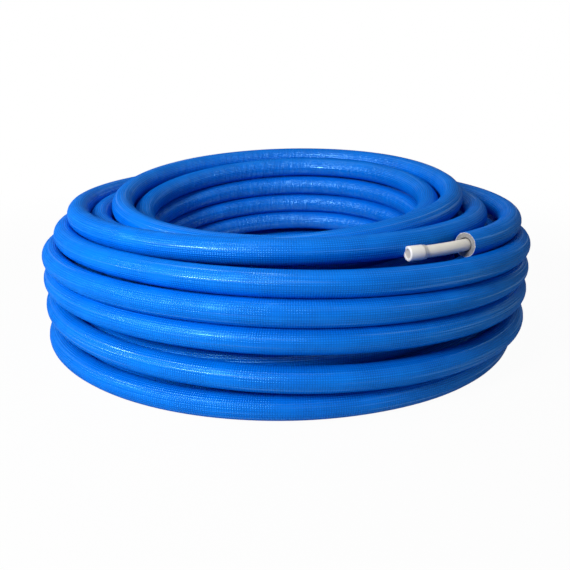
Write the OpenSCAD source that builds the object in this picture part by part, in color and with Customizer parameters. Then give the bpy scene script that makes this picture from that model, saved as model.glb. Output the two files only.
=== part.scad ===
// Coil of pre-insulated pipe: one continuous length of small-bore composite pipe in a round
// foam sleeve with a thin film skin, wound into a free-standing ring coil, with a push-on cap
// on its free end. Millimetres, +Z up; Z = 0 is the floor and the coil's axis is the Z axis.
//
// A turn is two half turns. Each is an exact part torus between one crossing of the XZ plane
// and the next. It is tilted about Y to climb, and tipped about its own ends where turns lean.

/* [Pipe] */
// Outside diameter of the pipe
pipe_od = 16; // [14:0.5:20]
// Wall thickness of the pipe
pipe_wall = 2; // [1:0.25:2.5]
// Thickness of the foam sleeve over the pipe
foam_wall = 9; // [6:0.5:13]

/* [Winding] */
// Clear diameter of the bore through the middle of the coil
bore_d = 422; // [340:1:600]
// Full turns in a settled column
turns_high = 5; // [4:1:8]
// Gap left between a turn and its neighbours
turn_gap = 0.5; // [0.5:0.1:2]
// Extra gap where the outer column springs apart above its second turn
outer_gap = 5; // [3:0.5:8]
// How much higher the back of the innermost column lies than its sides, and its front lower
inner_lean = 28; // [15:1:32]
// How deep the floor presses a flat into the foam of the lowest turns
rest_flat = 0.6; // [0.3:0.1:1.5]

/* [Free end] */
// How far past the side of the coil the sleeve stops, in degrees
end_angle = 52; // [35:1:60]
// How much tighter than the turn before it the last part turn is, as a share of its radius
end_tighten = 0.12; // [0:0.01:0.15]
// Length of pipe left bare beyond the sleeve, along its centreline
bare_length = 96; // [60:1:140]
// Length of pipe drawn inside the sleeve
hidden_length = 60; // [30:1:100]

/* [End cap] */
// Wall thickness of the cap
cap_wall = 1.5; // [1:0.1:3]
// Length of the cap along the pipe
cap_length = 25; // [18:0.5:40]
// Depth of the shallow dish in the cap's closed end
cap_dish = 1.2; // [0.5:0.1:2]

/* [Hidden] */
$fn = 48;
tube_d = pipe_od + 2 * foam_wall;
pitch = tube_d + turn_gap;
innermost_r = bore_d / 2 + tube_d / 2;
lowest_z = tube_d / 2 - rest_flat;
top = turns_high - 1;
lift = outer_gap / pitch;
lean = inner_lean / pitch;
// every second half turn is a hair slimmer, so a joint is a clean step and not a tangency
joint_step = 0.2;
cap_floor = 3;
cap_clearance = 0.2;
bite = 5;

// Stations are where the tube's centre crosses the XZ plane, right, left, right and so on. Each is
// [columns out from the innermost, turns up from the floor, tip]. Tip is how many turns higher the
// half turn that starts there lies at the back, or lower at the front, than midway between its ends.

// the outermost column climbs from the floor and springs up at the front above its second turn
function outer_height(h) = h < 2 ? 0 : h == 2 ? 0.9 : h == 3 ? 1.5 : h / 2 + lift;
outer_column = [for (h = [0 : 2 * top])
    [h == 0 ? 3.65 : h % 2 == 0 ? 4.15 : 4.1, outer_height(h), h > 2 && h % 2 == 0 ? -0.25 : 0]];
// its last turn leans in towards the next column, which goes down again
lean_in = [[3.5, top + 0.55, 0], [3, top + 0.2, 0], [3, top - 1, 0]];
function going_down(u, from, sag) =
    [for (k = [from : -1 : 1]) each [[u, k, 0], [u, k - 1, k == 1 ? sag : 0]]];
function going_up(u) = [for (k = [0 : top - 1]) each [[u, k, 0], [u, k + 1, 0]]];
// the innermost column leans, low at the front and high at the back
leaning = [[0, 0.3, lean / 2], [0, 0.7, lean],
    for (k = [1 : top]) each [[0, k + 0.7, lean], [0, k + 1.15, lean]]];
// it ends in two loose turns that lie across the tops of the others
loose_turns = [[0.1, top + 1.75, 0.75], [0.95, top + 1.75, 0.75], [1.1, top + 2.15, 0.4],
    [1.95, top + 1.1, 0.2], [2.2, top + 1.35, 0], [2.9, top + 1.4, 0.15], [3.75, top + 1.15, 0]];
stations = concat(outer_column, lean_in, going_down(3, top - 1, 0), going_up(2), going_down(1, top, -0.05),
    leaning, loose_turns);
last = len(stations) - 1;

function station_r(i) = innermost_r + stations[i][0] * pitch;
function station_z(i) = lowest_z + stations[i][1] * pitch;

start_r = station_r(0) * 0.93;
end_r = station_r(last) * (1 - end_tighten);
end_x = station_r(last) - end_r;
end_z = station_z(last);
function along(length) = length / end_r * 180 / PI;

module tube(slim) {
    circle(d = tube_d - slim * joint_step);
}

module half_turn(i) {
    right = i % 2 == 0 ? i : i + 1;
    left = i % 2 == 0 ? i + 1 : i;
    dx = station_r(right) + station_r(left);
    dz = station_z(right) - station_z(left);
    r = norm([dx, dz]) / 2;
    translate([(station_r(right) - station_r(left)) / 2, 0, (station_z(right) + station_z(left)) / 2])
        rotate([0, -atan2(dz, dx), 0]) rotate([asin(stations[i][2] * pitch / r), 0, 0])
            rotate([0, 0, i % 2 == 0 ? 180 : 0])
                rotate_extrude(angle = 180) translate([r, 0]) tube(i % 2);
}

// a part torus on the free end's own circle, from one angle past the side of the coil to another
module end_arc(from, to) {
    translate([end_x, 0, end_z]) rotate([180, 0, 0]) rotate([0, 0, from])
        rotate_extrude(angle = to - from) translate([end_r, 0]) children();
}

module sleeve() {
    color([0.05, 0.38, 0.80]) difference() {
        union() {
            for (i = [0 : last - 1]) half_turn(i);
            end_arc(0, end_angle) tube(last % 2);
            // the start is tucked out of sight round the back
            translate([station_r(0) - start_r, 0, lowest_z])
                rotate_extrude(angle = 60) translate([start_r, 0]) tube(1);
        }
        end_arc(end_angle - along(hidden_length), end_angle + along(bite)) circle(d = pipe_od);
        translate([0, 0, -tube_d]) cylinder(r = station_r(0) + 3 * tube_d, h = tube_d);
    }
}

module pipe() {
    color([0.93, 0.93, 0.90])
        end_arc(end_angle - along(hidden_length), end_angle + along(bare_length - cap_floor))
            difference() {
                circle(d = pipe_od);
                circle(d = pipe_od - 2 * pipe_wall);
            }
}

// socket mouth at Z = 0, closed end at Z = cap_length
module cap_shape() {
    inner = pipe_od / 2 + cap_clearance;
    outer = inner + cap_wall;
    rotate_extrude() polygon([
        [inner, 0], [outer - 0.4, 0], [outer, 4], [outer, cap_length - 0.8],
        [outer - 0.8, cap_length], [outer - 2, cap_length], [outer - 2.6, cap_length - cap_dish],
        [0, cap_length - cap_dish], [0, cap_length - cap_floor], [inner, cap_length - cap_floor]]);
}

module end_cap() {
    socket = cap_length - cap_floor;
    middle = end_angle + along(bare_length - cap_floor - socket / 2);
    color([0.96, 0.96, 0.95])
        translate([end_x, 0, end_z]) rotate([0, 0, -middle]) translate([end_r, 0, 0])
            rotate([90, 0, 0]) translate([0, 0, -socket / 2]) cap_shape();
}

sleeve();
pipe();
end_cap();
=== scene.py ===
"""Coil of pre-insulated pipe: an embossed blue film over foam, wound into a free-standing coil."""
import math
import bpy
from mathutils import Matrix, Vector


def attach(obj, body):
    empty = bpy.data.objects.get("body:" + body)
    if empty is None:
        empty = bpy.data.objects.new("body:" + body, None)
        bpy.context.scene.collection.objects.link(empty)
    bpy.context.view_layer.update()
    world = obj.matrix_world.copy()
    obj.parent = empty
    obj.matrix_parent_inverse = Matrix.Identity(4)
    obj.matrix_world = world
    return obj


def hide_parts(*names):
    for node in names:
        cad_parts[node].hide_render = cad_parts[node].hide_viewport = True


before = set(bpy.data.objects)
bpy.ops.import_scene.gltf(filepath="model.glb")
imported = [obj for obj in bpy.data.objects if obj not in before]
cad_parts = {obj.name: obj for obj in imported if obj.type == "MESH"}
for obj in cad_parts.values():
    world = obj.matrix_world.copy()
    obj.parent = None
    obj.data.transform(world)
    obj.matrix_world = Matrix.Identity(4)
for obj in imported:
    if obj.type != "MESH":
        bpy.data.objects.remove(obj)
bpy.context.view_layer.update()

from types import SimpleNamespace

import bpy
import numpy as np

rng = np.random.default_rng(7)

MM = 0.001
UP = np.array([0.0, 0.0, 1.0])
FULL_TURN = 2 * math.pi

# ---------------------------------------------------------------- sizes, as in the part's source
PIPE_OD = 16 * MM
FOAM_WALL = 9 * MM
BORE_D = 422 * MM
TURNS_HIGH = 5
TURN_GAP = 0.5 * MM
OUTER_GAP = 5 * MM
INNER_LEAN = 28 * MM
REST_FLAT = 0.6 * MM
END_ANGLE = math.radians(52)
END_TIGHTEN = 0.12
BARE_LENGTH = 96 * MM
CAP_WALL = 1.5 * MM
CAP_LENGTH = 25 * MM
CAP_DISH = 1.2 * MM
CAP_FLOOR = 3 * MM
CAP_CLEARANCE = 0.2 * MM

TUBE_D = PIPE_OD + 2 * FOAM_WALL
TUBE_R = TUBE_D / 2
PITCH = TUBE_D + TURN_GAP
INNERMOST_R = BORE_D / 2 + TUBE_R
LOWEST_Z = TUBE_R - REST_FLAT
TOP = TURNS_HIGH - 1
LIFT = OUTER_GAP / PITCH
LEAN = INNER_LEAN / PITCH
START_TUCK = math.radians(60)
START_TIGHTEN = 0.07

# ---------------------------------------------------------------- the tube's route
# A station is where the tube's centre crosses the XZ plane, right, left, right and so on. It is
# (columns out from the innermost, turns up from the floor, tip), as in the part's source.
LOW_HEIGHTS = (0, 0, 0.9, 1.5)
START_OUT, RIGHT_OUT, LEFT_OUT = 3.65, 4.15, 4.1
SPRUNG_TIP = -0.25


def outer_column():
    """The outermost column, which springs up at the front above its second turn."""
    column = []
    for half in range(2 * TOP + 1):
        on_right = half % 2 == 0
        out = START_OUT if half == 0 else RIGHT_OUT if on_right else LEFT_OUT
        height = LOW_HEIGHTS[half] if half < len(LOW_HEIGHTS) else half / 2 + LIFT
        column.append((out, height, SPRUNG_TIP if half > 2 and on_right else 0))
    return column


def going_down(column, level, sag):
    """A column wound down to the floor, whose lowest turn sags at the front or the back."""
    return [(column, k - side, sag if k == side == 1 else 0)
            for k in range(level, 0, -1) for side in (0, 1)]


def going_up(column):
    return [(column, k + side, 0) for k in range(TOP) for side in (0, 1)]


LEAN_IN = [(3.5, TOP + 0.55, 0), (3, TOP + 0.2, 0), (3, TOP - 1, 0)]
LEANING = [(0, 0.3, LEAN / 2), (0, 0.7, LEAN)]
LEANING += [(0, k + rise, LEAN) for k in range(1, TOP + 1) for rise in (0.7, 1.15)]
LOOSE_TURNS = [(0.1, TOP + 1.75, 0.75), (0.95, TOP + 1.75, 0.75), (1.1, TOP + 2.15, 0.4),
               (1.95, TOP + 1.1, 0.2), (2.2, TOP + 1.35, 0), (2.9, TOP + 1.4, 0.15),
               (3.75, TOP + 1.15, 0)]
STATIONS = (outer_column() + LEAN_IN + going_down(3, TOP - 1, 0) + going_up(2)
            + going_down(1, TOP, -0.05) + LEANING + LOOSE_TURNS)
LAST = len(STATIONS) - 1

# points on each stretch of the rough route, then the step of the eased one and how far it is eased
START_POINTS, HALF_TURN_POINTS, END_POINTS = 24, 72, 20
EASED_STEP = math.radians(2)
RADIUS_EASE, HEIGHT_EASE = 3, 5


def station_r(i):
    """How far station i is from the coil's axis."""
    return INNERMOST_R + STATIONS[i][0] * PITCH


def station_z(i):
    return LOWEST_Z + STATIONS[i][1] * PITCH


def tucked_start():
    """Points of the tube's start, which bends in a little tighter at the back of the coil."""
    radius = station_r(0) * (1 - START_TIGHTEN)
    return np.array([[station_r(0) - radius + radius * math.cos(a), radius * math.sin(a), LOWEST_Z]
                     for a in np.linspace(START_TUCK, 0, START_POINTS, endpoint=False)])


def half_turn(i):
    """Points of the half turn from station i to the next, clockwise seen from above."""
    side = 1 if i % 2 == 0 else -1
    start = np.array([side * station_r(i), 0, station_z(i)])
    finish = np.array([-side * station_r(i + 1), 0, station_z(i + 1)])
    middle, arm = (start + finish) / 2, (start - finish) / 2
    radius = np.linalg.norm(arm)
    back = np.array([0, 1, 0])
    across = np.cross(side * arm / radius, back)
    tip = math.asin(STATIONS[i][2] * PITCH / radius)
    deep = -side * radius * (math.cos(tip) * back + math.sin(tip) * across)
    turn = np.linspace(0, math.pi, HALF_TURN_POINTS, endpoint=False)[:, None]
    return middle + np.cos(turn) * arm + np.sin(turn) * deep


def free_end_circle():
    """Radius and centre of the circle that the free end bends on."""
    radius = station_r(LAST) * (1 - END_TIGHTEN)
    return radius, np.array([station_r(LAST) - radius, 0, station_z(LAST)])


def on_free_end(angle):
    """Point and direction on the free end's circle, by the angle past the side of the coil."""
    radius, centre = free_end_circle()
    point = centre + radius * np.array([math.cos(angle), -math.sin(angle), 0])
    return point, np.array([-math.sin(angle), -math.cos(angle), 0])


def rough_route():
    """Points along the whole tube, as the solids lie."""
    stretches = [tucked_start(), *(half_turn(i) for i in range(LAST))]
    stretches.append(np.array([on_free_end(a)[0] for a in np.linspace(0, END_ANGLE, END_POINTS)]))
    return np.concatenate(stretches)


def ease(values, width):
    """A gaussian average along the route that leaves both ends where they are."""
    reach = 3 * width
    weight = np.exp(-0.5 * (np.arange(-reach, reach + 1) / width) ** 2)
    before, after = 2 * values[0] - values[reach:0:-1], 2 * values[-1] - values[-2:-reach - 2:-1]
    return np.convolve(np.concatenate([before, values, after]), weight / weight.sum(), "valid")


def route(step):
    """The tube's centreline as evenly spaced points, eased where one half turn meets the next."""
    points = rough_route()
    azimuth = np.unwrap(np.arctan2(points[:, 1], points[:, 0]))
    even = np.append(np.arange(azimuth[0], azimuth[-1], -EASED_STEP), azimuth[-1])
    radius = np.interp(-even, -azimuth, np.hypot(points[:, 0], points[:, 1]))
    height = np.interp(-even, -azimuth, points[:, 2])
    radius, height = ease(radius, RADIUS_EASE), ease(height, HEIGHT_EASE)
    points = np.stack([radius * np.cos(even), radius * np.sin(even), height], -1)
    gone = np.concatenate([[0], np.cumsum(np.linalg.norm(np.diff(points, axis=0), axis=1))])
    length = np.linspace(0, gone[-1], round(gone[-1] / step) + 1)
    return length, np.stack([np.interp(length, gone, points[:, k]) for k in range(3)], -1)


# ---------------------------------------------------------------- meshes
UV_LAYER = "film"


def make_object(name, vertices, faces, uvs=None):
    mesh = bpy.data.meshes.new(name)
    mesh.from_pydata([tuple(v) for v in vertices], [], faces)
    if uvs is not None:
        layer = mesh.uv_layers.new(name=UV_LAYER)
        layer.data.foreach_set("uv", np.asarray(uvs, np.float32).ravel())
    mesh.polygons.foreach_set("use_smooth", [True] * len(mesh.polygons))
    mesh.update()
    piece = bpy.data.objects.new(name, mesh)
    bpy.context.scene.collection.objects.link(piece)
    return piece


def round_angles(sides):
    """The angles of the points round a ring."""
    return np.linspace(0, FULL_TURN, sides, endpoint=False)


def ring_quads(rings, sides):
    """Faces from each of these rings of points, given by number, to the ring after it."""
    pairs = [(j, (j + 1) % sides) for j in range(sides)]
    return [(i * sides + j, i * sides + k, (i + 1) * sides + k, (i + 1) * sides + j)
            for i in rings for j, k in pairs]


def ring_uvs(spans, around):
    """UVs of those faces: each row's near and far place along, and the places round a ring."""
    pairs = list(zip(around[:-1], around[1:]))
    return [uv for near, far in spans for a, b in pairs
            for uv in ((near, a), (near, b), (far, b), (far, a))]


# ---------------------------------------------------------------- the film's skin
SIDES = 26
RING_STEP = 13 * MM
# how far the route wanders, and how near its ends it is held still
WANDER = 0.5 * MM
STILL_ENDS = 0.15
# unevenness of the tube's radius, as shares of it, and how fast the dents turn round it
SWELL = 0.008
DENT = 0.006
DENT_TWIST = 9
# waves per metre and how many of them are summed, for each kind of unevenness
SIDEWAYS_WAVES, UPWARD_WAVES, SWELL_WAVES, DENT_WAVES = (2.1, 4), (1.7, 4), (4.0, 5), (3.0, 4)
WAVE_SPREAD = (0.5, 1.6)
WAVE_PHASES = (0, 6.28)
# the film's edge at the cut end turns in, and is a little torn
LIP_REACH = 0.965
LIP_DEPTH = 0.3 * MM
LIP_WIDTH = 0.6 * MM
TORN = 0.25 * MM


def waves(length, per_metre, count):
    """Slow seeded waviness along the route, from -1 to 1, as a column."""
    total = np.zeros_like(length)
    for _ in range(count):
        pace, phase = rng.uniform(*WAVE_SPREAD), rng.uniform(*WAVE_PHASES)
        total += np.sin(length * per_metre * pace * FULL_TURN + phase)
    return (total / count)[:, None]


def unit(vectors):
    """Each row of vectors at length 1."""
    return vectors / np.linalg.norm(vectors, axis=1)[:, None]


def wandering(length, centre, radial):
    """The centreline with a little wander, in and out and up and down, away from its two ends."""
    loose = np.clip(np.minimum(length, length[-1] - length) / STILL_ENDS, 0, 1)[:, None]
    sideways = waves(length, *SIDEWAYS_WAVES) * radial
    return centre + loose * WANDER * (sideways + waves(length, *UPWARD_WAVES) * UP)


def directions(centre, radial):
    """At each point of the route: ahead along it, out from the coil's axis, and over the tube."""
    ahead = unit(np.gradient(centre, axis=0))
    out = np.cross(UP, ahead)
    out = unit(out * np.sign((out * radial).sum(1))[:, None])
    over = np.cross(ahead, out)
    return ahead, out, over * np.sign(over[:, 2])[:, None]


def uneven_rings(length, centre, out, over):
    """Rings of points round the route, a little swollen and dented, and flat on the floor."""
    turn = round_angles(SIDES)
    swell = 1 + SWELL * waves(length, *SWELL_WAVES)
    dent = np.sin(2 * turn[None, :] + DENT_TWIST * length[:, None])
    reach = TUBE_R * (swell + DENT * dent * waves(length, *DENT_WAVES))
    way = np.cos(turn)[:, None] * out[:, None] + np.sin(turn)[:, None] * over[:, None]
    rings = centre[:, None] + reach[..., None] * way
    rings[..., 2] = np.maximum(rings[..., 2], 0)
    return rings


def sleeve_film():
    """The film: one skin swept along the whole route. Returns it and where its two ends are."""
    length, centre = route(RING_STEP)
    radial = unit(centre * np.array([1, 1, 0]))
    centre = wandering(length, centre, radial)
    ahead, out, over = directions(centre, radial)
    rings = uneven_rings(length, centre, out, over)
    torn = ahead[-1] * rng.normal(0, TORN, (SIDES, 1))
    lip = centre[-1] + (rings[-1] - centre[-1]) * LIP_REACH - ahead[-1] * LIP_DEPTH + torn
    vertices = np.concatenate([rings.reshape(-1, 3), rings[-1], lip])
    # the last ring is there twice, so that the lip is a crisp edge
    faces = ring_quads([*range(len(length) - 1), len(length)], SIDES)
    spans = [*zip(length[:-1], length[1:]), (length[-1], length[-1] + LIP_WIDTH)]
    film = make_object("sleeve_film", vertices, faces,
                       ring_uvs(spans, np.arange(SIDES + 1) * TUBE_R * FULL_TURN / SIDES))
    start_end = centre[0], -ahead[0], out[0], over[0]
    cut_end = centre[-1], ahead[-1], out[-1], over[-1]
    return film, start_end, cut_end


# ---------------------------------------------------------------- the foam at the sleeve's ends
FOAM_ROWS, FOAM_SIDES = 9, 64
FOAM_REACH = 0.972
# how much a cut face is dished, and how rough it is
FOAM_BOWL = 0.5 * MM
FOAM_ROUGH = 0.12 * MM
# the gap torn open round the pipe, and how far the foam is run in along it
RAGGED_GAP = 0.9 * MM
GAP_DEPTH = 6 * MM
# radius of the hole in each face, and how far the face lies inside the sleeve's end
PIPE_HOLE_R = PIPE_OD / 2 + RAGGED_GAP + 0.1 * MM
PIPE_HOLE_SINK = 0.3 * MM
START_HOLE_R = 2 * MM
START_HOLE_SINK = 0.1 * MM


def foam_face(name, end, inner, sink):
    """The foam seen at a cut end: a slightly dished, uneven annulus, run in along the pipe."""
    centre, ahead, out, over = end
    ways = [math.cos(a) * out + math.sin(a) * over for a in round_angles(FOAM_SIDES)]
    outer = FOAM_REACH * TUBE_R
    vertices = []
    for row in range(FOAM_ROWS + 1):
        share = row / FOAM_ROWS
        radius = outer + (inner - outer) * share
        bowl = FOAM_BOWL * math.sin(math.pi * share)
        for way in ways:
            rough = rng.normal(0, FOAM_ROUGH) if 0 < row < FOAM_ROWS else 0
            vertices.append(centre + radius * way - ahead * (sink + bowl + rough))
    vertices += [centre + (inner - RAGGED_GAP) * way - ahead * GAP_DEPTH for way in ways]
    rows = range(FOAM_ROWS + 1)
    spans = [(row / FOAM_ROWS, (row + 1) / FOAM_ROWS) for row in rows]
    return make_object(name, vertices, ring_quads(rows, FOAM_SIDES),
                       ring_uvs(spans, range(FOAM_SIDES + 1)))


# ---------------------------------------------------------------- the cap
CAP_SIDES = 72
FILLET_POINTS = 5
SOCKET_SHOWN = 6 * MM
# radii of the cap's soft edges, from its mouth to its dish
MOUTH_R = 0.5 * MM
SHOULDER_R = 1 * MM
RIM_R = 1.4 * MM
DISH_EDGE_R = 0.7 * MM
# where the mouth's edge, the shoulder and the dish's edge are centred
MOUTH_IN = 0.6 * MM
SHOULDER_Z = 5 * MM
DISH_R = 6 * MM
DISH_EDGE_OUT = 0.8 * MM
DISH_EDGE_UP = 0.5 * MM


def arc(centre_r, centre_z, radius, start, finish):
    """Outline points round a fillet, by angles in degrees from outwards to up."""
    return [(centre_r + radius * math.cos(a), centre_z + radius * math.sin(a))
            for a in np.radians(np.linspace(start, finish, FILLET_POINTS))]


def cap_outline():
    """The cap's outline as (radius, height): rolled mouth, barrel and rounded rim, then the dish."""
    inner = PIPE_OD / 2 + CAP_CLEARANCE
    outer = inner + CAP_WALL
    dish_z = CAP_LENGTH - CAP_DISH
    barrel = [(inner, SOCKET_SHOWN), (inner, MOUTH_R)]
    barrel += arc(inner + MOUTH_IN, MOUTH_R, MOUTH_R, 180, 340)
    barrel += arc(outer - SHOULDER_R, SHOULDER_Z, SHOULDER_R, -60, 0)
    barrel += arc(outer - RIM_R, CAP_LENGTH - RIM_R, RIM_R, 0, 90)
    dish = arc(DISH_R + DISH_EDGE_OUT, dish_z + DISH_EDGE_UP, DISH_EDGE_R, 90, 180)
    return barrel, dish + [(DISH_R, dish_z), (DISH_R / 2, dish_z)]


def cap_shell():
    """The push-on cap, turned from its outline and set on the end of the pipe."""
    socket = CAP_LENGTH - CAP_FLOOR
    angle = END_ANGLE + (BARE_LENGTH - CAP_FLOOR - socket / 2) / free_end_circle()[0]
    point, ahead = on_free_end(angle)
    base = point - ahead * socket / 2
    side = np.cross(UP, ahead)
    ways = [math.cos(a) * side + math.sin(a) * UP for a in round_angles(CAP_SIDES)]
    barrel, dish = cap_outline()
    outline = barrel + dish
    vertices = [base + ahead * z + r * way for r, z in outline for way in ways]
    vertices.append(base + ahead * (CAP_LENGTH - CAP_DISH))
    last, middle = (len(outline) - 1) * CAP_SIDES, len(vertices) - 1
    faces = ring_quads(range(len(outline) - 1), CAP_SIDES)
    faces += [(last + j, last + (j + 1) % CAP_SIDES, middle) for j in range(CAP_SIDES)]
    cap = make_object("cap_shell", vertices, faces)
    # the dish's floor, past its rounded edge, has the second material, a greyer white that paints the
    # shade in the dish
    dish_floor = (len(barrel) + FILLET_POINTS - 1) * CAP_SIDES
    for polygon in cap.data.polygons:
        polygon.material_index = int(polygon.index >= dish_floor)
    return cap


# ---------------------------------------------------------------- shader maths
class Sock:
    """A value in a node tree. Arithmetic on it adds Math nodes."""

    def __init__(self, tree, out):
        self.tree, self.out = tree, out

    def math(self, operation, first, second=None):
        return add_node(self.tree, "ShaderNodeMath", {"operation": operation}, i0=first, i1=second)

    def __add__(self, other): return self.math("ADD", self, other)
    def __radd__(self, other): return self.math("ADD", other, self)
    def __sub__(self, other): return self.math("SUBTRACT", self, other)
    def __rsub__(self, other): return self.math("SUBTRACT", other, self)
    def __mul__(self, other): return self.math("MULTIPLY", self, other)
    def __rmul__(self, other): return self.math("MULTIPLY", other, self)

    def greatest(self, other):
        return self.math("MAXIMUM", self, other)

    def cosine(self):
        return self.math("COSINE", self)

    def smooth_between(self, low, high):
        """0 up to low, 1 from high on, and a smooth step between them."""
        smooth = {"interpolation_type": "SMOOTHSTEP"}
        return add_node(self.tree, "ShaderNodeMapRange", smooth, i0=self, i1=low, i2=high)


def feed(tree, socket, value):
    """Links a value to a socket, or sets a number or a colour on it."""
    if isinstance(value, Sock):
        tree.links.new(value.out, socket)
    elif value is not None:
        socket.default_value = (*value, 1) if socket.type == "RGBA" else value


def add_node(tree, kind, settings=None, outlet=0, **inputs):
    """Adds a node: its type, settings and outlet, then its inputs by name or by i and a number."""
    node = tree.nodes.new(kind)
    for name, value in (settings or {}).items():
        setattr(node, name, value)
    for name, value in inputs.items():
        key = int(name[1:]) if name[1:].isdigit() else name.replace("_", " ")
        feed(tree, node.inputs[key], value)
    return Sock(tree, node.outputs[outlet] if node.outputs else None)


def new_material(name):
    material = bpy.data.materials.new(name)
    material.use_nodes = True
    material.node_tree.nodes.clear()
    return material, material.node_tree


def show(tree, shader, kind="ShaderNodeOutputMaterial"):
    """Gives the material, or the world, this shader."""
    add_node(tree, kind, Surface=shader)


def object_place(tree):
    return add_node(tree, "ShaderNodeTexCoord", outlet="Object")


def uv_place(tree, axes):
    """The UVs as values: X runs along the sleeve and Y around it, or X in from a cut face's rim."""
    spot = add_node(tree, "ShaderNodeUVMap", {"uv_map": UV_LAYER})
    return [add_node(tree, "ShaderNodeSeparateXYZ", outlet=axis, Vector=spot) for axis in axes]


NOISE_ROUGHNESS = 0.55


def noise(tree, vector, grain, detail):
    """Noise with this many grains per metre."""
    return add_node(tree, "ShaderNodeTexNoise", Vector=vector, Scale=grain, Detail=detail,
                    Roughness=NOISE_ROUGHNESS)


def mix_colour(tree, share, first, second):
    return add_node(tree, "ShaderNodeMix", {"data_type": "RGBA"}, 2, i0=share, i6=first, i7=second)


def bump(tree, strength, distance, height):
    return add_node(tree, "ShaderNodeBump", Strength=strength, Distance=distance, Height=height)


def srgb(red, green, blue):
    """A colour given as on a paint chart, 0 to 255, as the shader's own numbers."""
    return tuple((c / 255 / 12.92) if c <= 10 else ((c / 255 + 0.055) / 1.055) ** 2.4
                 for c in (red, green, blue))


# ---------------------------------------------------------------- the film's material
FILM_BLUE = (0.0, 0.195, 0.85)
FILM_DEEP = (0.0, 0.17, 0.785)
FILM_WORN = (0.005, 0.222, 0.87)
# the lighter blue of the lines along the film is a painted highlight, in fine streaks
FILM_LINE_HIGHLIGHT = (0.008, 0.252, 0.96)
# the darkest blue is painted shade, laid in the hollows between the waffle's dots
FILM_HOLLOW_SHADE = (0.0, 0.035, 0.28)
FILM_SHEEN = (0.16, 0.62, 1.0)
RIDGE_SHEEN = (0.4, 0.8, 1.0)
CREASE_SHEEN = (0.24, 0.6, 1.0)
# the waffle's pitch, its mean over a whole dot, the share of shade painted in its hollows at that
# mean, and the contrast of that painted shade
EMBOSS = 3.0 * MM
DOT_MEAN = 0.25
HOLLOW_SHADE_SHARE = 0.17
DOT_CONTRAST = 1.3
# grain of the marks, per metre along the sleeve and around it, and the patches' grain in space
RIDGE_GRAIN, LINE_GRAIN, FOLD_GRAIN, CREASE_GRAIN = (4, 300), (5, 700), (7, 70), (150, 38)
RIDGE_START = (29.51, 191.3)
PATCH_GRAIN, DEPTH_GRAIN = 14.0, 26.0
# where each mark begins in its noise, and where it is whole
RIDGE_EDGES, LINE_EDGES, CREASE_EDGES = (0.55, 0.74), (0.48, 0.7), (0.42, 0.62)
PATCH_EDGES, DEPTH_EDGES, WORN_EDGES = (0.3, 0.7), (0.3, 0.6), (0.55, 0.8)
WORN_SHARE, LINE_HIGHLIGHT_SHARE = 0.5, 0.5
# the inside of the bend begins and is whole at these cosines of the angle from outwards
INSIDE_EDGES = (-0.3, -0.85)
# the least depth of the waffle, and how much of it the ridges stretch flat
LEAST_PRESSED, RIDGE_FLATTENS = 0.3, 0.8
# depth of the relief, and each mark's share of it
RELIEF = 0.5 * MM
RIDGE_DEEP, LINE_DEEP, FOLD_DEEP, DOT_DEEP, CREASE_DEEP = 0.5, 0.2, 0.7, 0.9, 0.8
FOLD_SHALLOWER = 0.4
MATTE_ROUGHNESS = 0.6
# the gloss over the matte: its roughness and its share, and what each mark adds or takes
GLOSS_ROUGHNESS, PATCH_ROUGHER, RIDGE_SMOOTHER, INSIDE_SMOOTHER = 0.17, 0.14, 0.06, 0.04
GLOSS_SHARE, RIDGE_GLOSS, INSIDE_GLOSS, CREASE_GLOSS = 0.04, 0.075, 0.004, 0.036


def drawn_noise(tree, spot, grain, detail, start=None):
    """Noise drawn out one way: its grain differs along the sleeve and around it."""
    x, y = (value * fine for value, fine in zip(spot, grain))
    if start:
        x, y = x + start[0], y + start[1]
    return noise(tree, add_node(tree, "ShaderNodeCombineXYZ", X=x, Y=y), 1.0, detail)


def waffle(spot):
    """Raised round dots in rows, 1 at their middles and 0 midway between them."""
    wave = FULL_TURN / EMBOSS
    ribs, rows = ((value * wave).cosine() * 0.5 + 0.5 for value in spot)
    return ribs * rows


def film_marks(tree):
    """The marks in the film, each a value over its surface."""
    spot, place = uv_place(tree, "XY"), object_place(tree)
    ridges = drawn_noise(tree, spot, RIDGE_GRAIN, detail=1.0, start=RIDGE_START)
    lines = drawn_noise(tree, spot, LINE_GRAIN, detail=0.0)
    folds = drawn_noise(tree, spot, FOLD_GRAIN, detail=2.0)
    creases = drawn_noise(tree, spot, CREASE_GRAIN, detail=1.0)
    patches = noise(tree, place, PATCH_GRAIN, detail=3.0)
    depth = noise(tree, place, DEPTH_GRAIN, detail=2.0)
    ridges, lines = ridges.smooth_between(*RIDGE_EDGES), lines.smooth_between(*LINE_EDGES)
    inside = (spot[1] * (1 / TUBE_R)).cosine().smooth_between(*INSIDE_EDGES)
    creases = creases.smooth_between(*CREASE_EDGES) * inside
    pressed = LEAST_PRESSED + depth.smooth_between(*DEPTH_EDGES) * (1 - LEAST_PRESSED)
    pressed = pressed * (1 - ridges * RIDGE_FLATTENS)
    return SimpleNamespace(ridges=ridges, lines=lines, folds=folds, creases=creases,
                           patches=patches, dots=waffle(spot), pressed=pressed, inside=inside)


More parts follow.
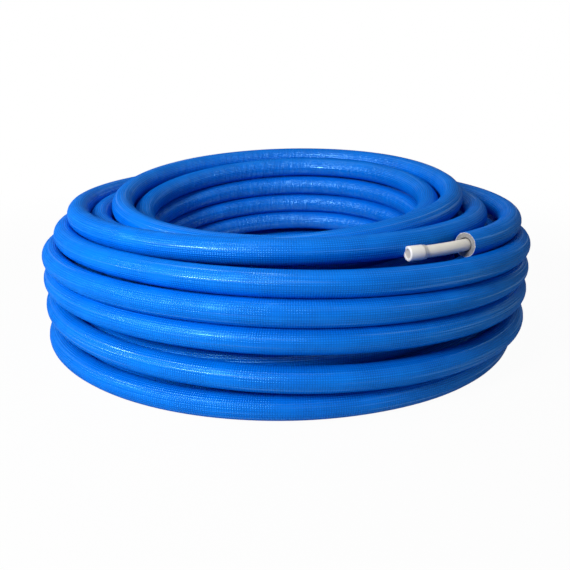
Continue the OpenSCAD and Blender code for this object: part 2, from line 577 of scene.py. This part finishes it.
def film_tone(tree, marks):
    """Deeper and paler patches, worn folds, lines painted lighter as fine highlight streaks, and
    painted shade in the hollows between the waffle's dots.
    """
    tone = mix_colour(tree, marks.patches.smooth_between(*PATCH_EDGES), FILM_DEEP, FILM_BLUE)
    tone = mix_colour(tree, marks.folds.smooth_between(*WORN_EDGES) * WORN_SHARE, tone, FILM_WORN)
    # the lines are painted lighter as fine highlight streaks, and are also raised in the relief
    tone = mix_colour(tree, marks.lines * LINE_HIGHLIGHT_SHARE, tone, FILM_LINE_HIGHLIGHT)
    # painted shade in the waffle's hollows: darker between the raised dots, where the relief would be
    # shaded
    hollow_shade = HOLLOW_SHADE_SHARE + (DOT_MEAN - marks.dots) * marks.pressed * DOT_CONTRAST
    return mix_colour(tree, hollow_shade, tone, FILM_HOLLOW_SHADE)


def film_relief(tree, marks):
    """The bump of all the marks. The folds are shallower on the inside of a bend."""
    height = marks.ridges * RIDGE_DEEP + marks.lines * LINE_DEEP
    height = height + marks.folds * (FOLD_DEEP - marks.inside * FOLD_SHALLOWER)
    height = height + marks.dots * marks.pressed * DOT_DEEP + marks.creases * CREASE_DEEP
    return bump(tree, 1.0, RELIEF, height)


def film_gloss(tree, marks, relief):
    """The tinted gloss that lies over the matte film."""
    tint = mix_colour(tree, marks.ridges, FILM_SHEEN, RIDGE_SHEEN)
    tint = mix_colour(tree, marks.inside, tint, CREASE_SHEEN)
    rough = (GLOSS_ROUGHNESS + marks.patches * PATCH_ROUGHER - marks.ridges * RIDGE_SMOOTHER
             - marks.inside * INSIDE_SMOOTHER)
    return add_node(tree, "ShaderNodeBsdfPrincipled", Base_Color=tint, Metallic=1.0,
                    Roughness=rough, Normal=relief)


def film_material():
    """Blue film with a waffle of fine dots, ridges and lines along it, and creases inside bends."""
    material, tree = new_material("embossed blue film")
    marks = film_marks(tree)
    relief = film_relief(tree, marks)
    matte = add_node(tree, "ShaderNodeBsdfPrincipled", Base_Color=film_tone(tree, marks),
                     Roughness=MATTE_ROUGHNESS, Specular_IOR_Level=0.0, Normal=relief)
    share = (GLOSS_SHARE + marks.ridges * RIDGE_GLOSS + marks.inside * INSIDE_GLOSS
             + marks.creases * CREASE_GLOSS)
    gloss = film_gloss(tree, marks, relief)
    show(tree, add_node(tree, "ShaderNodeMixShader", i0=share, i1=matte, i2=gloss))
    return material


# ---------------------------------------------------------------- foam and white plastic
FOAM_GREY, FOAM_PALE = srgb(112, 110, 110), srgb(160, 157, 154)
FOAM_RIM = srgb(222, 220, 216)
# dark grey painted into the torn gap round the pipe, as its shade
FOAM_GAP_SHADE = srgb(62, 62, 66)
# the face runs from 0 at its rim to 1 at the pipe: where the crushed rim ends and the painted shade
# of the gap begins
RIM_ENDS, GAP_SHADE_BEGINS = (0.2, 0.42), (0.85, 1.15)
RIM_RAGGED, GAP_SHADE_RAGGED = 0.4, 0.3
CELL_GRAIN, RAGGED_GRAIN = 900.0, 420.0
CELL_CONTRAST = 1.2
FOAM_ROUGHNESS = 0.85
# strength and depth of the bump in the foam and in the plastic
FOAM_BUMP, PLASTIC_BUMP = (0.6, 0.4 * MM), (0.25, 0.1 * MM)
CLOUD_GRAIN, FINE_GRAIN = 60.0, 700.0
CLOUD_ROUGHER = 0.15
# each white plastic: its name, its colour, the shade that clouds it, and its least roughness
WHITE_PIPE = ("white pipe", srgb(248, 244, 234), srgb(234, 228, 216), 0.28)
WHITE_CAP = ("white cap", srgb(250, 247, 240), srgb(238, 235, 227), 0.38)
SHADED_DISH = ("shaded dish", srgb(214, 206, 192), srgb(196, 188, 176), 0.5)


def foam_material():
    """Grey cut foam, pale and crushed where the knife broke its rim, with shade painted dark in the
    gap beside the pipe.
    """
    material, tree = new_material("grey foam")
    (inward,), place = uv_place(tree, "X"), object_place(tree)
    cells = add_node(tree, "ShaderNodeTexVoronoi", Vector=place, Scale=CELL_GRAIN)
    ragged = noise(tree, place, RAGGED_GRAIN, detail=2.0)
    rim = 1 - (inward + ragged * RIM_RAGGED).smooth_between(*RIM_ENDS)
    # painted shade: the foam darkens towards the gap round the pipe
    gap_shade = (inward + ragged * GAP_SHADE_RAGGED).smooth_between(*GAP_SHADE_BEGINS)
    tone = mix_colour(tree, cells * CELL_CONTRAST, FOAM_GREY, FOAM_PALE)
    tone = mix_colour(tree, gap_shade, mix_colour(tree, rim, tone, FOAM_RIM), FOAM_GAP_SHADE)
    show(tree, add_node(tree, "ShaderNodeBsdfPrincipled", Base_Color=tone,
                        Roughness=FOAM_ROUGHNESS, Normal=bump(tree, *FOAM_BUMP, cells + ragged)))
    return material


def white_plastic(name, colour, shade, rough):
    """Moulded plastic, faintly clouded in tone and gloss, with a very fine grain."""
    material, tree = new_material(name)
    place = object_place(tree)
    cloud = noise(tree, place, CLOUD_GRAIN, detail=3.0)
    fine = noise(tree, place, FINE_GRAIN, detail=2.0)
    tone = mix_colour(tree, cloud, colour, shade)
    show(tree, add_node(tree, "ShaderNodeBsdfPrincipled", Base_Color=tone,
                        Roughness=rough + cloud * CLOUD_ROUGHER,
                        Normal=bump(tree, *PLASTIC_BUMP, fine)))
    return material


def dress(node, material):
    """Gives a CAD node that stays this material alone."""
    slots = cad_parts[node].data.materials
    slots.clear()
    slots.append(material)


# ---------------------------------------------------------------- the coil
film, start_end, cut_end = sleeve_film()
film.data.materials.append(film_material())
foam = foam_material()
faces = [foam_face("foam_cut_end", cut_end, PIPE_HOLE_R, PIPE_HOLE_SINK),
         foam_face("foam_start_end", start_end, START_HOLE_R, START_HOLE_SINK)]
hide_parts("sleeve")
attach(film, "root")
for face in faces:
    face.data.materials.append(foam)
    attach(face, "root")

dress("pipe", white_plastic(*WHITE_PIPE))
cap = cap_shell()
for plastic in (WHITE_CAP, SHADED_DISH):
    cap.data.materials.append(white_plastic(*plastic))
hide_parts("end_cap")
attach(cap, "root")

# ---------------------------------------------------------------- floor, light and camera
FLOOR_REACH = 12
WHITE = (1, 1, 1)
FLOOR_TONE = (0.6, 0.6, 0.6)
# the floor's glow: its share near the coil, and where it grows to the whole
NEAR_GLOW = 0.965
GLOW_GROWS = (0.6, 1.6)
# it is off under the coil, so that no light shows in the gaps between turns
UNDER_FROM, UNDER_TO = (0.215, 0.23), (0.35, 0.362)
WORLD_LIGHT = 0.2
# name, place, width across and watts
LAMPS = [("key", (-0.95, -1.35, 0.95), 0.55, 23.5),
         ("side", (-2.2, -0.6, 1.2), 0.5, 15),
         ("over", (-0.15, -0.6, 1.7), 0.3, 4.2)]
LAMP_TARGET = (0, 0, 0.12)
CAMERA_AWAY = 1.146
CAMERA_HIGH = 0.416
CAMERA_DOWN = math.radians(17.15)
CAMERA_LENS = 44.4
CAMERA_SENSOR = 36
CAMERA_NEAR = 0.01


def seen_or_mirrored(tree):
    """1 for rays that show the background, from the camera or by way of a gloss or a glass."""
    camera, glossy, through = (add_node(tree, "ShaderNodeLightPath", outlet=f"Is {ray} Ray")
                               for ray in ("Camera", "Glossy", "Transmission"))
    return camera.greatest(glossy.greatest(through))


def white_stage():
    """A white floor that glows to the eye like the backdrop and still takes the coil's shadow."""
    corners = [(x * FLOOR_REACH, y * FLOOR_REACH, 0) for x, y in ((-1, -1), (1, -1), (1, 1), (-1, 1))]
    floor = make_object("floor", corners, [(0, 1, 2, 3)])
    material, tree = new_material("white floor")
    place = object_place(tree)
    away = add_node(tree, "ShaderNodeVectorMath", {"operation": "LENGTH"}, "Value", i0=place)
    under = away.smooth_between(*UNDER_FROM) * (1 - away.smooth_between(*UNDER_TO))
    glow = NEAR_GLOW + away.smooth_between(*GLOW_GROWS) * (1 - NEAR_GLOW)
    show(tree, add_node(tree, "ShaderNodeMixShader",
                        i0=seen_or_mirrored(tree) * (glow * (1 - under)),
                        i1=add_node(tree, "ShaderNodeBsdfDiffuse", Color=FLOOR_TONE),
                        i2=add_node(tree, "ShaderNodeEmission", Color=WHITE, Strength=1.0)))
    floor.data.materials.append(material)


def white_world():
    """A plain white backdrop that lights the coil only dimly."""
    world = bpy.data.worlds.new("studio")
    world.use_nodes = True
    tree = world.node_tree
    tree.nodes.clear()
    dim, white = (add_node(tree, "ShaderNodeBackground", Color=WHITE, Strength=strength)
                  for strength in (WORLD_LIGHT, 1.0))
    mixed = add_node(tree, "ShaderNodeMixShader", i0=seen_or_mirrored(tree), i1=dim, i2=white)
    show(tree, mixed, "ShaderNodeOutputWorld")
    bpy.context.scene.world = world


def soft_light(name, place, size, watts):
    """A round area lamp turned towards the coil."""
    data = bpy.data.lights.new(name, "AREA")
    data.shape, data.size, data.energy = "DISK", size, watts
    lamp = bpy.data.objects.new(name, data)
    lamp.location = place
    way = Vector(LAMP_TARGET) - Vector(place)
    lamp.rotation_euler = way.to_track_quat("-Z", "Y").to_euler()
    bpy.context.scene.collection.objects.link(lamp)


def add_camera():
    data = bpy.data.cameras.new("camera")
    data.lens, data.sensor_width = CAMERA_LENS, CAMERA_SENSOR
    data.clip_start = CAMERA_NEAR
    camera = bpy.data.objects.new("camera", data)
    camera.location = (0, -CAMERA_AWAY, CAMERA_HIGH)
    camera.rotation_euler = (math.pi / 2 - CAMERA_DOWN, 0, 0)
    bpy.context.scene.collection.objects.link(camera)
    bpy.context.scene.camera = camera


white_stage()
white_world()
for lamp in LAMPS:
    soft_light(*lamp)
add_camera()
bpy.context.scene.view_settings.view_transform = "Standard"
